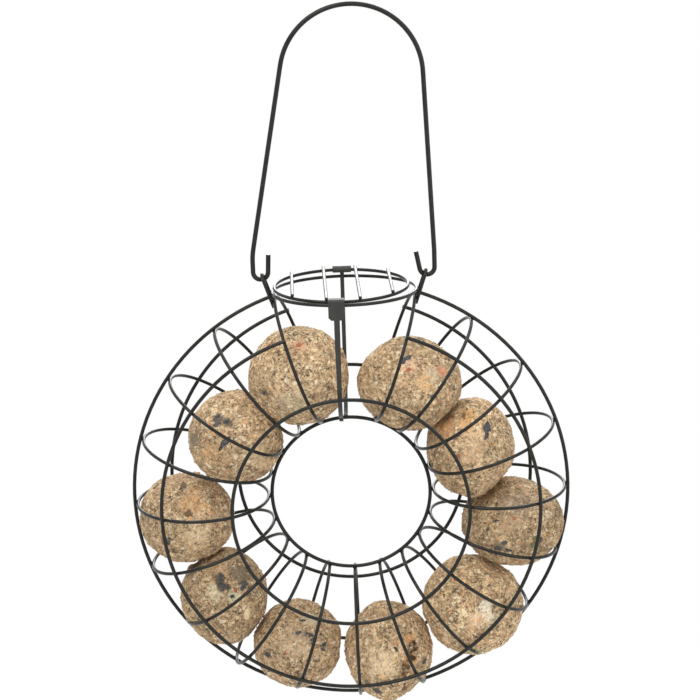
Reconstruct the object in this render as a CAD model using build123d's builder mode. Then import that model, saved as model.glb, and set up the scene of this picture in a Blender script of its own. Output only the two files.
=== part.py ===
from build123d import *
from math import asin, atan2, cos, degrees, radians, sin, sqrt, tan
import os

os.makedirs("parts", exist_ok=True)

# Origin: the underside of the bail's top, where a hook or branch carries the feeder.
# +Z is up, the wheel's axle line runs along Y, and the side with the latch faces -Y.

# Driving dimensions, in millimetres and degrees
hang_drop = 291.7
tube_radius = 89.5
hoop_radius = 39.6
cage_wire = 2.0
ring_wire = 2.2
bail_wire = 2.8
weld_sink = 0.05
plate_sink = 0.05

# Hoops and long rings
hoop_count = 17
hoop_pitch_angle = 18
hoop_lean_angle = 2.7
outer_pair_angle = 58
inner_pair_angle = 118

# Mouth, lid and ears
mouth_lean_angle = 1.8
mouth_half_angle = 18.6
mouth_tilt_angle = 2.4
lid_ring_inset = 3.1
lid_shift = 1.8
lid_rise = 3.0
lid_rod_count = 4
lid_rod_pitch = 19.3
lid_rod_turn_angle = 2.1
ear_width = 8.0
ear_rise = 12.1
ear_foot = 8.0

# Bail
bail_arch_radius = 41.0
bail_shoulder_radius = 40.0
bail_shoulder_rise = 10.0
hook_radius = 4.4
hook_tip_length = 10.8
hook_left_lean_angle = 3
hook_right_lean_angle = 11
hook_gap = 0.3
hook_lid_gap = 0.3

# Latch and hinge straps
strap_thickness = 0.9
strap_foot_width = 2.4
strap_neck_width = 3.3
strap_bend_radius = 36.0
strap_knee_radius = 8.0
latch_knee_drop = 13.9
hinge_knee_drop = 15.6
tab_width = 9.4
tab_height = 12.5
tab_corner = 1.6
tab_gap = 0.3
latch_shift = 4.4
latch_curl_gap = 0.3
latch_curl_sweep_angle = 270
lip_radius = 0.9
lip_overlap = 0.7
lip_gap = 0.6
hinge_shift = 1.6
hinge_width = 11.3
hinge_corner = 0.4
hinge_neck_width = 2.4
hinge_curl_sweep_angle = 215
hinge_plate_drop = 1.4
strap_foot_end = 1.2

# Suet balls. The shares are of the hoops' radius: a ball's own radius, how far out from the
# tube's middle line it has settled, and how far forward. Turns are to the left of the top.
ball_gap = 0.4
ball_radius_shares = [0.725, 0.687, 0.712, 0.646, 0.644, 0.684, 0.697, 0.742, 0.664, 0.684]
ball_outset_shares = [-0.240, -0.303, 0.293, 0.311, 0.313, 0.331, 0.328, 0.258, -0.308, -0.306]
ball_forward_shares = [0.0, -0.05, -0.05, 0.10, 0.15, 0.20, 0.15, 0.0, 0.0, 0.05]
ball_turn_angles = [23.0, 63.7, 99.5, 130.3, 161.2, 192.9, 226.5, 259.2, 291.7, 333.4]
flat_count = 4
flat_depth_share = 0.07
flat_rise_angle = 28
flat_stagger_angle = 12

# Sizes that follow
ring_offset = hoop_radius + (ring_wire + cage_wire) / 2 - weld_sink
rim_radius = tube_radius + ring_offset
hub_radius = tube_radius - ring_offset
mouth_reach = rim_radius + (ring_wire + cage_wire) / 2 - weld_sink
mouth_ring_radius = mouth_reach * sin(radians(mouth_half_angle))
mouth_height = mouth_reach * cos(radians(mouth_half_angle))
lid_ring_radius = mouth_ring_radius - lid_ring_inset
mouth_ring_depth = mouth_ring_radius * cos(radians(mouth_tilt_angle))
lid_height = mouth_height + lid_rise
lid_rod_height = lid_height + cage_wire - weld_sink
ear_offset = cage_wire - weld_sink
ear_bend_radius = ear_width / 2
ear_top_reach = mouth_reach + ear_rise
ear_top_x = ear_top_reach * sin(radians(mouth_half_angle)) + ear_offset * cos(radians(mouth_half_angle))
ear_top_height = ear_top_reach * cos(radians(mouth_half_angle)) - ear_offset * sin(radians(mouth_half_angle))
hook_tip_x = lid_ring_radius + lid_shift + (cage_wire + bail_wire) / 2 + hook_lid_gap
hook_bend_x = hook_tip_x + hook_tip_length * sin(radians(hook_left_lean_angle))
hook_centre_x = hook_bend_x + hook_radius * cos(radians(hook_left_lean_angle))
hook_hang = hook_radius - (cage_wire + bail_wire) / 2 - hook_gap
hook_centre_height = ear_top_height + sqrt(hook_hang**2 - (hook_centre_x - ear_top_x) ** 2)
swing_height = hook_centre_height - hook_radius
tab_front = mouth_ring_depth + cage_wire / 2 + tab_gap + strap_thickness / 2
hinge_back = mouth_ring_depth - (cage_wire + strap_thickness) / 2 + plate_sink
lid_sag = lid_ring_radius - sqrt(lid_ring_radius**2 - (hinge_width / 2) ** 2)
hinge_axis_reach = lid_ring_radius - lid_sag / 2
hinge_curl_radius = hinge_back - hinge_axis_reach
lip_height = lid_height + cage_wire / 2 + lip_gap + strap_thickness / 2

# The wheel's frames: x to the right, y up, z towards the front, each turned left by its lean
wheel_centre = Vector(0, 0, -hang_drop)


def leaned_plane(lean):
    right = Vector(cos(radians(lean)), 0, sin(radians(lean)))
    return Plane(origin=wheel_centre, x_dir=right, z_dir=(0, -1, 0))


wheel = leaned_plane(0)
mouth = leaned_plane(mouth_lean_angle)


def level_plane(height, aside=0):
    """A plane square to the mouth's upright, at a height above the wheel's centre."""
    origin = mouth.from_local_coords((aside, height, 0))
    return Plane(origin=origin, x_dir=mouth.x_dir, z_dir=mouth.y_dir)


def hoop_plane(turn, aside=0):
    """The plane of a hoop at a turn to the left of upright: x outwards, y towards the back."""
    outward = wheel.from_local_coords((-sin(radians(turn)), cos(radians(turn)), 0)) - wheel_centre
    across = Vector(0, 1, 0)
    flat = Plane(origin=wheel_centre, x_dir=outward, z_dir=outward.cross(across))
    return flat.offset(aside)


def finish(piece, name):
    """Name a finished piece and write it to its own file."""
    piece.part.label = name
    export_step(piece.part, f"parts/{name}.step")


def bend_wire(path, thickness, name):
    """A round wire along a path, square at both ends."""
    with BuildPart() as wire:
        with BuildSketch(Plane(origin=path @ 0, z_dir=path % 0)):
            Circle(thickness / 2)
        sweep(path=path)
    finish(wire, name)


# Full rings: the hub ring round the middle and the two inner rings
ring_places = {
    "hub_ring": 180,
    "front_inner_ring": inner_pair_angle,
    "back_inner_ring": -inner_pair_angle,
}
for name, place in ring_places.items():
    radius = tube_radius + ring_offset * cos(radians(place))
    forward = ring_offset * sin(radians(place))
    with BuildPart(wheel.offset(forward)) as ring:
        Torus(major_radius=radius, minor_radius=ring_wire / 2)
    finish(ring, name)

# Open rings: they stop at the mouth hoops, just past each weld
arc_places = {
    "rim_ring": 0,
    "front_outer_ring": outer_pair_angle,
    "back_outer_ring": -outer_pair_angle,
}
for name, place in arc_places.items():
    radius = tube_radius + ring_offset * cos(radians(place))
    forward = ring_offset * sin(radians(place))
    end_angle = mouth_half_angle - degrees(asin(ring_wire / 2 / radius))
    with BuildLine(mouth.offset(forward)) as arc:
        CenterArc((0, 0), radius, 90 + end_angle, 360 - 2 * end_angle)
    bend_wire(arc.line, ring_wire, name)

# Hoops, numbered from the left of the mouth, down and round to its right
for index in range(hoop_count):
    turn = hoop_lean_angle + hoop_pitch_angle * (index + 2)
    with BuildPart(hoop_plane(turn)) as hoop:
        with Locations((tube_radius, 0)):
            Torus(major_radius=hoop_radius, minor_radius=cage_wire / 2)
    finish(hoop, f"hoop_{index + 1:02d}")

# The two hoops that edge the mouth, each with a hairpin ear welded beside it
for side, name in ((1, "left"), (-1, "right")):
    turn = mouth_lean_angle + side * mouth_half_angle
    with BuildPart(hoop_plane(turn)) as mouth_hoop:
        with Locations((tube_radius, 0)):
            Torus(major_radius=hoop_radius, minor_radius=cage_wire / 2)
    finish(mouth_hoop, f"mouth_hoop_{name}")

    bend_reach = ear_top_reach - ear_bend_radius
    foot_reach = mouth_reach - ear_foot
    with BuildLine(hoop_plane(turn, side * ear_offset)) as hairpin:
        front_leg = Line((foot_reach, -ear_bend_radius), (bend_reach, -ear_bend_radius))
        top_bend = TangentArc(front_leg @ 1, (bend_reach, ear_bend_radius), tangent=front_leg % 1)
        Line(top_bend @ 1, (foot_reach, ear_bend_radius))
    bend_wire(hairpin.line, cage_wire, f"ear_{name}")

# Mouth ring, resting on the ends of the rim ring with its front a little higher than its back
with BuildPart(level_plane(mouth_height).rotated((-mouth_tilt_angle, 0, 0))) as mouth_ring:
    Torus(major_radius=mouth_ring_radius, minor_radius=cage_wire / 2)
finish(mouth_ring, "mouth_ring")

# Lid: a ring with four rods welded on top, lying a little to the left inside the mouth ring
with BuildPart(level_plane(lid_height, -lid_shift)) as lid_ring:
    Torus(major_radius=lid_ring_radius, minor_radius=cage_wire / 2)
finish(lid_ring, "lid_ring")

rod_plane = level_plane(lid_rod_height, -lid_shift).rotated((0, 0, lid_rod_turn_angle))
for index in range(lid_rod_count):
    across = (index - (lid_rod_count - 1) / 2) * lid_rod_pitch
    half_length = sqrt(lid_ring_radius**2 - across**2) + cage_wire / 2
    with BuildLine(rod_plane) as rod:
        Line((across, -half_length), (across, half_length))
    bend_wire(rod.line, cage_wire, f"lid_rod_{index + 1}")


# Bail: an arch whose legs end in hooks that hold the ears
arch_centre = Vector(0, 0, bail_wire / 2 - bail_arch_radius)


def draw_bail_side(side, tip_lean):
    """Draw one hook and leg, from the hook's tip, and return the end that meets the arch."""
    tip_turn = radians(tip_lean)
    outer_x = side * (hook_centre_x + hook_radius)
    bend_in_x = hook_centre_x - hook_radius * cos(tip_turn)
    bend_in_height = hook_centre_height - hook_radius * sin(tip_turn)
    tip_x = bend_in_x - hook_tip_length * sin(tip_turn)
    up = mouth.y_dir
    tip = mouth.from_local_coords((side * tip_x, bend_in_height + hook_tip_length * cos(tip_turn), 0))
    bend_in = mouth.from_local_coords((side * bend_in_x, bend_in_height, 0))
    bend_low = mouth.from_local_coords((side * hook_centre_x, swing_height, 0))
    bend_out = mouth.from_local_coords((outer_x, hook_centre_height, 0))
    shoulder = mouth.from_local_coords((outer_x, hook_centre_height + bail_shoulder_rise, 0))

    to_centre = arch_centre - shoulder
    leg_lean = atan2(-side * to_centre.X, to_centre.Z) - asin(bail_arch_radius / to_centre.length)
    leg = Vector(-side * sin(leg_lean), 0, cos(leg_lean))
    meet = arch_centre + Vector(side * cos(leg_lean), 0, sin(leg_lean)) * bail_arch_radius
    run_in = bail_shoulder_radius * tan(radians(up.get_angle(leg)) / 2)

    Line(tip, bend_in)
    ThreePointArc(bend_in, bend_low, bend_out)
    Line(bend_out, shoulder - up * run_in)
    TangentArc(shoulder - up * run_in, shoulder + leg * run_in, tangent=up)
    Line(shoulder + leg * run_in, meet)
    return meet


with BuildLine() as bail_line:
    left_meet = draw_bail_side(-1, hook_left_lean_angle)
    right_meet = draw_bail_side(1, hook_right_lean_angle)
    ThreePointArc(left_meet, arch_centre + Vector(0, 0, bail_arch_radius), right_meet)
bail_path = bail_line.wire()
bend_wire(bail_path, bail_wire, "bail")


# Straps of spring sheet: both follow the inside of the hoops, out from the hub ring
side_plane = Plane(origin=wheel_centre, x_dir=(0, 1, 0), z_dir=mouth.x_dir)


def bend_towards(knee, start_height):
    """The angle of a strap's bend that lets it run on straight to its knee, and the bend's end."""
    across = abs(knee[0])
    rise = knee[1] - start_height - strap_bend_radius
    lift = atan2(rise, across) + asin(strap_bend_radius / sqrt(across**2 + rise**2))
    end_reach = strap_bend_radius * sin(lift) * knee[0] / across
    return degrees(lift), (end_reach, start_height + strap_bend_radius * (1 - cos(lift)))


def cut_strap(path, shift, neck_width, plate_width, corner, plate_low, plate_high, name):
    """A strip along a path, cut to a narrow foot, a wider neck and a plate at its top."""
    half_foot = strap_foot_width / 2
    half_neck = neck_width / 2
    half_plate = plate_width / 2
    foot_low = hub_radius - ring_wire - strap_thickness - latch_curl_gap
    right_edge = [
        (half_foot, foot_low),
        (half_foot, hub_radius + ring_wire + strap_thickness),
        (half_neck, plate_low - strap_knee_radius),
        (half_neck, plate_low),
        (half_plate - corner, plate_low),
        (half_plate, plate_low + corner),
        (half_plate, plate_high),
    ]
    left_edge = [(-x, y) for x, y in reversed(right_edge)]
    with BuildPart() as strap:
        with BuildSketch(Plane(origin=path @ 0, x_dir=mouth.x_dir, z_dir=path % 0)):
            Rectangle(plate_width, strap_thickness)
        sweep(path=path)
        outline_origin = mouth.from_local_coords((shift, 0, 0))
        with BuildSketch(Plane(origin=outline_origin, x_dir=mouth.x_dir, z_dir=mouth.z_dir)):
            with BuildLine():
                Polyline(*right_edge, *left_edge, close=True)
            make_face()
        extrude(amount=tube_radius, both=True, mode=Mode.INTERSECT)
    finish(strap, name)


# Latch: curled round the hub ring, with a finger tab and a lip that holds the lid ring down
curl_radius = ring_wire / 2 + latch_curl_gap + strap_thickness / 2
hub_height = sqrt(hub_radius**2 - latch_shift**2)
latch_start = (0, hub_height + curl_radius)
latch_knee = (-tab_front, mouth_height - latch_knee_drop)
latch_lift, latch_bend_end = bend_towards(latch_knee, latch_start[1])
with BuildLine(side_plane.offset(-latch_shift)) as latch_line:
    CenterArc((0, hub_height), curl_radius, 90 - latch_curl_sweep_angle, latch_curl_sweep_angle)
    JernArc(latch_start, (-1, 0), strap_bend_radius, -latch_lift)
    FilletPolyline(
        latch_bend_end,
        latch_knee,
        (-tab_front, lip_height),
        (lip_overlap - lid_ring_radius - cage_wire / 2, lip_height),
        radius=[strap_knee_radius, lip_radius],
    )
tab_top = lip_height + strap_thickness
tab_low = tab_top - tab_height
cut_strap(
    latch_line.wire(), -latch_shift, strap_neck_width, tab_width, tab_corner, tab_low, tab_top, "latch"
)

# Hinge strap: welded to the hub ring and inside the mouth ring, curled loosely round the lid ring
hinge_start = (0, hub_radius + (ring_wire + strap_thickness) / 2 - plate_sink)
hinge_knee = (hinge_back, mouth_height - hinge_knee_drop)
hinge_lift, hinge_bend_end = bend_towards(hinge_knee, hinge_start[1])
with BuildLine(side_plane.offset(-hinge_shift)) as hinge_line:
    Line((-strap_foot_end, hinge_start[1]), hinge_start)
    JernArc(hinge_start, (1, 0), strap_bend_radius, hinge_lift)
    FilletPolyline(
        hinge_bend_end,
        hinge_knee,
        (hinge_back, lid_height),
        radius=[strap_knee_radius],
    )
    CenterArc((hinge_axis_reach, lid_height), hinge_curl_radius, 0, hinge_curl_sweep_angle)
hinge_low = lid_height - hinge_plate_drop
hinge_top = lid_height + hinge_curl_radius + strap_thickness
hinge_path = hinge_line.wire()
cut_strap(
    hinge_path,
    -hinge_shift,
    hinge_neck_width,
    hinge_width,
    hinge_corner,
    hinge_low,
    hinge_top,
    "hinge_strap",
)


# Suet balls: pressed lumps with small flats, trimmed where they lie against each other
def place_ball(index):
    """A ball's radius and centre, from its shares of the hoops' radius and its turn."""
    reach = tube_radius + ball_outset_shares[index] * hoop_radius
    forward = ball_forward_shares[index] * hoop_radius
    turn = radians(ball_turn_angles[index])
    centre = wheel.from_local_coords((-reach * sin(turn), reach * cos(turn), forward))
    return ball_radius_shares[index] * hoop_radius, centre


ball_count = len(ball_turn_angles)
for index in range(ball_count):
    radius, centre = place_ball(index)
    outward = (centre - wheel_centre).normalized()
    seat = Plane(origin=centre, x_dir=outward, z_dir=(0, -1, 0))
    with BuildPart(seat) as suet_ball:
        Sphere(radius)
        for neighbour in (index - 1, (index + 1) % ball_count):
            near_radius, near_centre = place_ball(neighbour)
            towards = near_centre - centre
            meeting = (towards.length + (radius**2 - near_radius**2) / towards.length) / 2
            if meeting < radius + ball_gap:
                trim = centre + towards.normalized() * (meeting - ball_gap / 2)
                split(bisect_by=Plane(origin=trim, z_dir=towards), keep=Keep.BOTTOM)
        for flat in range(flat_count):
            turn = radians(360 * (flat + 1 / 2) / flat_count + flat_stagger_angle * (index % 3 - 1))
            rise = radians(flat_rise_angle * (-1) ** (index + flat))
            facing = Vector(cos(rise) * cos(turn), cos(rise) * sin(turn), sin(rise))
            face = facing * radius * (1 - flat_depth_share)
            flat_plane = Plane(
                origin=seat.from_local_coords(face),
                z_dir=seat.from_local_coords(facing) - centre,
            )
            split(bisect_by=flat_plane, keep=Keep.BOTTOM)
    finish(suet_ball, f"suet_ball_{index + 1:02d}")
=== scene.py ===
import bpy
import bmesh
import math
import random
from mathutils import Matrix, Vector


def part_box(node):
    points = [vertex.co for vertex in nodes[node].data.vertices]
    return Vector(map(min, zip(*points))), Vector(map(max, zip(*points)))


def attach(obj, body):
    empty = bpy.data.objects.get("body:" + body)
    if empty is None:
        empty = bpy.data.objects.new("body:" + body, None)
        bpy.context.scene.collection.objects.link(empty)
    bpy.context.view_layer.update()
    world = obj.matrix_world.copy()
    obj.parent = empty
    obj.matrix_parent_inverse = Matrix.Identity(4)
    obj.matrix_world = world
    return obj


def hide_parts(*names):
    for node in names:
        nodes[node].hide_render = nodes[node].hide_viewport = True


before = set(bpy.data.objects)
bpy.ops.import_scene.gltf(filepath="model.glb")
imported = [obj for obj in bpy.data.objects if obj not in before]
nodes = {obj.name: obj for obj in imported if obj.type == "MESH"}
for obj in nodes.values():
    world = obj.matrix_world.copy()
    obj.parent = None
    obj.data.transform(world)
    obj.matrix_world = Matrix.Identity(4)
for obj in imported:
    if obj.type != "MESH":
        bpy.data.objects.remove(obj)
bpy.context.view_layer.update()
scene = bpy.context.scene
print("frame loaded with", len(nodes), "nodes")


def mm(value):
    return value / 1000


def selectOnly(*pieces):
    bpy.ops.object.select_all(action="DESELECT")
    for piece in pieces:
        piece.select_set(True)
    bpy.context.view_layer.objects.active = pieces[0]


def pickPoints(piece, wanted):
    # in edit mode: selects the points whose place passes the test
    mesh = bmesh.from_edit_mesh(piece.data)
    for point in mesh.verts:
        point.select = wanted(point.co)
    mesh.select_flush_mode()
    bmesh.update_edit_mesh(piece.data)


def applyAll(piece):
    selectOnly(piece)
    for modifier in list(piece.modifiers):
        bpy.ops.object.modifier_apply(modifier=modifier.name)


def cleanShell(piece):
    selectOnly(piece)
    bpy.ops.object.mode_set(mode="EDIT")
    bpy.ops.mesh.select_all(action="SELECT")
    bpy.ops.mesh.normals_make_consistent(inside=False)
    bpy.ops.object.mode_set(mode="OBJECT")


def finishPiece(piece, name, body):
    piece.name = name
    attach(piece, body)


# the photo's camera: in front of the feeder and above it, looking 16 degrees down
cameraView = {
    "place": (-0.0007, -1.1306, 0.1197),
    "tilt": 74.11,
    "lens": 101.9,
    "sensor": 36,
}
cameraData = bpy.data.cameras.new("photoCamera")
camera = bpy.data.objects.new("photoCamera", cameraData)
scene.collection.objects.link(camera)
camera.location = cameraView["place"]
camera.rotation_euler = (math.radians(cameraView["tilt"]), 0, 0)
cameraData.lens = cameraView["lens"]
cameraData.sensor_width = cameraView["sensor"]
cameraData.clip_end = 20
scene.camera = camera

studio = {
    "floorHeight": -0.75,
    "floorSize": 9.0,
    "floorColour": (0.9, 0.9, 0.9, 1),
    "ambient": 0.5,
    "shadowShare": 0.1,
    "shadowReach": 0.75,
    "target": (0, 0, -0.25),
    "lamps": {
        "keyLamp": {"place": (-0.75, -1.1, 1.15), "size": 1.1, "power": 17},
        "fillLamp": {"place": (1.2, -1.2, 0.2), "size": 1.6, "power": 8},
        "topLamp": {"place": (0.1, 0.3, 1.4), "size": 1.4, "power": 15},
        "backLamp": {"place": (0.0, 1.9, 0.35), "size": 0.9, "power": 12},
    },
}


def addNode(tree, kind, sockets=None, **settings):
    node = tree.nodes.new(kind)
    for name, value in settings.items():
        setattr(node, name, value)
    for name, value in (sockets or {}).items():
        if isinstance(value, bpy.types.NodeSocket):
            tree.links.new(value, node.inputs[name])
        else:
            node.inputs[name].default_value = value
    return node


def addMath(tree, operation, first, second=0.0, clamp=False):
    node = addNode(tree, "ShaderNodeMath", {0: first, 1: second}, operation=operation)
    node.use_clamp = clamp
    return node.outputs[0]


def addNoise(tree, vector, scale, detail):
    return addNode(tree, "ShaderNodeTexNoise", {"Vector": vector, "Scale": scale, "Detail": detail}).outputs


def addRange(tree, value, low, high, toLow=0.0, toHigh=1.0):
    sockets = {"Value": value, "From Min": low, "From Max": high, "To Min": toLow, "To Max": toHigh}
    return addNode(tree, "ShaderNodeMapRange", sockets).outputs[0]


def addScaled(tree, vector, share):
    return addNode(tree, "ShaderNodeVectorMath", {0: vector, "Scale": share}, operation="SCALE").outputs[0]


def addSteps(tree, value, stops):
    # plain steps of colour, each from its own place on
    node = addNode(tree, "ShaderNodeValToRGB", {"Fac": value})
    ramp = node.color_ramp
    ramp.interpolation = "CONSTANT"
    while len(ramp.elements) < len(stops):
        ramp.elements.new(1.0)
    for element, (place, colour) in zip(ramp.elements, stops):
        element.position = place
        element.color = (*colour, 1)
    return node.outputs["Color"]


def addMix(tree, share, first, second):
    node = addNode(tree, "ShaderNodeMix", data_type="RGBA")
    for socket, value in ((node.inputs[0], share), (node.inputs[6], first), (node.inputs[7], second)):
        if isinstance(value, bpy.types.NodeSocket):
            tree.links.new(value, socket)
        else:
            socket.default_value = value if isinstance(value, float) else (*value, 1)
    return node.outputs[2]


def seenRays(tree):
    # 1 where the camera, a reflection or a glass ray looks, 0 for the light itself
    seen = addNode(tree, "ShaderNodeLightPath")
    direct = addMath(tree, "MAXIMUM", seen.outputs["Is Camera Ray"], seen.outputs["Is Glossy Ray"])
    return addMath(tree, "MAXIMUM", direct, seen.outputs["Is Transmission Ray"])


world = bpy.data.worlds.new("studioWorld")
scene.world = world
world.use_nodes = True
tree = world.node_tree
tree.nodes.clear()
white = (1, 1, 1, 1)
dim = addNode(tree, "ShaderNodeBackground", {"Color": white, "Strength": studio["ambient"]})
bright = addNode(tree, "ShaderNodeBackground", {"Color": white, "Strength": 1.0})
mixed = addNode(tree, "ShaderNodeMixShader", {0: seenRays(tree), 1: dim.outputs[0], 2: bright.outputs[0]})
addNode(tree, "ShaderNodeOutputWorld", {0: mixed.outputs[0]})

bpy.ops.object.select_all(action="DESELECT")
bpy.ops.mesh.primitive_plane_add(size=studio["floorSize"], location=(0, 0, studio["floorHeight"]))
floor = bpy.context.object
floor.name = "studioFloor"
floorPaint = bpy.data.materials.new("paleFloor")
floorPaint.use_nodes = True
tree = floorPaint.node_tree
tree.nodes.clear()
place = addNode(tree, "ShaderNodeTexCoord").outputs["Object"]
away = addNode(tree, "ShaderNodeVectorMath", {0: place}, operation="LENGTH").outputs["Value"]
far = addRange(tree, away, 0.0, studio["shadowReach"], 1 - studio["shadowShare"], 1.0)
share = addMath(tree, "MULTIPLY", seenRays(tree), far)
matt = addNode(tree, "ShaderNodeBsdfDiffuse", {"Color": studio["floorColour"]})
glow = addNode(tree, "ShaderNodeEmission", {"Color": white, "Strength": 1.0})
mixed = addNode(tree, "ShaderNodeMixShader", {0: share, 1: matt.outputs[0], 2: glow.outputs[0]})
addNode(tree, "ShaderNodeOutputMaterial", {0: mixed.outputs[0]})
floor.data.materials.append(floorPaint)

for name, lamp in studio["lamps"].items():
    light = bpy.data.lights.new(name, "AREA")
    light.size = lamp["size"]
    light.energy = lamp["power"]
    lampObject = bpy.data.objects.new(name, light)
    scene.collection.objects.link(lampObject)
    lampObject.location = lamp["place"]
    aim = Vector(studio["target"]) - lampObject.location
    lampObject.rotation_euler = aim.to_track_quat("-Z", "Y").to_euler()
scene.view_settings.view_transform = "Standard"
print("camera and studio ready")


def newGroup(name, inputs, outputs):
    # an input that is a number is a value with that default, and None is a vector
    group = bpy.data.node_groups.new(name, "ShaderNodeTree")
    for label, value in inputs.items():
        kind = "NodeSocketVector" if value is None else "NodeSocketFloat"
        socket = group.interface.new_socket(label, in_out="INPUT", socket_type=kind)
        if value is not None:
            socket.default_value = value
    for label in outputs:
        group.interface.new_socket(label, in_out="OUTPUT", socket_type="NodeSocketFloat")
    return group, group.nodes.new("NodeGroupInput").outputs, group.nodes.new("NodeGroupOutput").inputs


def useGroup(tree, group, sockets):
    return addNode(tree, "ShaderNodeGroup", sockets, node_tree=group).outputs


# how the shared effects are set inside
effects = {
    "toneDetail": 3.0,
    "toneRange": (0.3, 0.7),
    "peelDetail": 2.0,
    "driftDetail": 1.0,
    "pitDetail": 3.0,
    "pitRegionScale": 170.0,
    "pitRegionDetail": 2.0,
    "pitRegionLift": 0.5,
    "pitEdge": 0.09,
    "patchCoarseScale": 180.0,
    "patchCoarseDetail": 3.0,
    "patchCoarseShare": 1.8,
    "patchFineScale": 620.0,
    "patchFineDetail": 2.0,
    "patchMiddle": 1.4,
    "patchCore": 0.55,
}

# a soft uneven tone, in the coat and in the suet
toneInputs = {"Vector": None, "Scale": 100.0, "Low": 0.0, "High": 1.0}
unevenTone, given, put = newGroup("unevenTone", toneInputs, ["Value"])
cloud = addNoise(unevenTone, given["Vector"], given["Scale"], effects["toneDetail"])
spread = addRange(unevenTone, cloud["Fac"], *effects["toneRange"], given["Low"], given["High"])
unevenTone.links.new(spread, put["Value"])

# the fine ripple of a powder coat
orangePeel, given, put = newGroup("orangePeel", {"Vector": None, "Scale": 1000.0}, ["Height"])
cells = addNode(orangePeel, "ShaderNodeTexVoronoi", {"Vector": given["Vector"], "Scale": given["Scale"]},
                feature="SMOOTH_F1")
ripple = addNoise(orangePeel, given["Vector"], given["Scale"], effects["peelDetail"])
orangePeel.links.new(addMath(orangePeel, "ADD", cells.outputs["Distance"], ripple["Fac"]), put["Height"])

# broken cells of pressed meal: a random value for each cell, and its rounded height
cellInputs = {"Vector": None, "Scale": 500.0, "Waver": 0.0004}
mealCells, given, put = newGroup("mealCells", cellInputs, ["Cell", "Height"])
drift = addNoise(mealCells, given["Vector"], given["Scale"], effects["driftDetail"])
centred = addNode(mealCells, "ShaderNodeVectorMath", {0: drift["Color"], 1: (0.5, 0.5, 0.5)},
                  operation="SUBTRACT")
scaled = addScaled(mealCells, centred.outputs[0], given["Waver"])
moved = addNode(mealCells, "ShaderNodeVectorMath", {0: given["Vector"], 1: scaled}, operation="ADD")
grain = addNode(mealCells, "ShaderNodeTexVoronoi", {"Vector": moved.outputs[0], "Scale": given["Scale"]})
split = addNode(mealCells, "ShaderNodeSeparateColor", {0: grain.outputs["Color"]})
mealCells.links.new(split.outputs[0], put["Cell"])
mealCells.links.new(addMath(mealCells, "SUBTRACT", 1.0, grain.outputs["Distance"], clamp=True), put["Height"])

# scattered ragged pits, gathered in places; the mask lowers the bump and also paints the pits dark as painted
# shade
shadedPits, given, put = newGroup("shadedPits", {"Vector": None, "Scale": 900.0, "Amount": 0.4}, ["Mask"])
rag = addNoise(shadedPits, given["Vector"], given["Scale"], effects["pitDetail"])
region = addNoise(shadedPits, given["Vector"], effects["pitRegionScale"], effects["pitRegionDetail"])
lifted = addMath(shadedPits, "ADD", region["Fac"], effects["pitRegionLift"])
limit = addMath(shadedPits, "MULTIPLY", given["Amount"], lifted)
depth = addRange(shadedPits, addMath(shadedPits, "SUBTRACT", limit, rag["Fac"]), 0.0, effects["pitEdge"])
shadedPits.links.new(depth, put["Mask"])

# a soft mask about one place, with ragged edges
roundPatch, given, put = newGroup("roundPatch", {"Vector": None, "Place": None, "Reach": 0.01}, ["Mask"])
offset = addNode(roundPatch, "ShaderNodeVectorMath", {0: given["Vector"], 1: given["Place"]},
                 operation="DISTANCE")
coarse = addNoise(roundPatch, given["Vector"], effects["patchCoarseScale"], effects["patchCoarseDetail"])
fine = addNoise(roundPatch, given["Vector"], effects["patchFineScale"], effects["patchFineDetail"])
weighted = addMath(roundPatch, "MULTIPLY", coarse["Fac"], effects["patchCoarseShare"])
bothEdges = addMath(roundPatch, "ADD", weighted, fine["Fac"])
centred = addMath(roundPatch, "SUBTRACT", bothEdges, effects["patchMiddle"])
wander = addMath(roundPatch, "MULTIPLY", centred, given["Reach"])
edged = addMath(roundPatch, "ADD", offset.outputs["Value"], wander)
inner = addMath(roundPatch, "MULTIPLY", given["Reach"], effects["patchCore"])
roundPatch.links.new(addRange(roundPatch, edged, inner, given["Reach"], 1.0, 0.0), put["Mask"])
print("node groups ready")


def startMaterial(name):
    material = bpy.data.materials.new(name)
    material.use_nodes = True
    tree = material.node_tree
    shader = tree.nodes["Principled BSDF"]
    place = addNode(tree, "ShaderNodeTexCoord").outputs["Object"]
    return material, tree, shader, place


def finishMaterial(tree, shader, colour, rough, height, bump):
    distance, strength = bump
    raised = addNode(tree, "ShaderNodeBump", {"Height": height, "Distance": distance, "Strength": strength})
    tree.links.new(colour, shader.inputs["Base Color"])
    tree.links.new(rough, shader.inputs["Roughness"])
    tree.links.new(raised.outputs[0], shader.inputs["Normal"])


def addTone(tree, place, scale, low=0.0, high=1.0):
    return useGroup(tree, unevenTone, {"Vector": place, "Scale": scale, "Low": low, "High": high})["Value"]


def addCells(tree, place, scale, waver):
    return useGroup(tree, mealCells, {"Vector": place, "Scale": scale, "Waver": waver})


# bump is a distance in metres and a strength, in every material
coats = {
    "wireCoat": {
        "low": (0.015, 0.0155, 0.013),
        "high": (0.025, 0.0255, 0.022),
        "toneScale": 260.0,
        "rough": (0.18, 0.26),
        "roughScale": 90.0,
        "specular": 0.2,
        "peelScale": 1400,
        "bump": (0.00003, 0.6),
    },
    "strapCoat": {
        "low": (0.036, 0.037, 0.033),
        "high": (0.050, 0.051, 0.046),
        "toneScale": 260.0,
        "rough": (0.42, 0.52),
        "roughScale": 90.0,
        "specular": 0.25,
        "peelScale": 1100,
        "bump": (0.00003, 0.6),
    },
}


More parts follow.
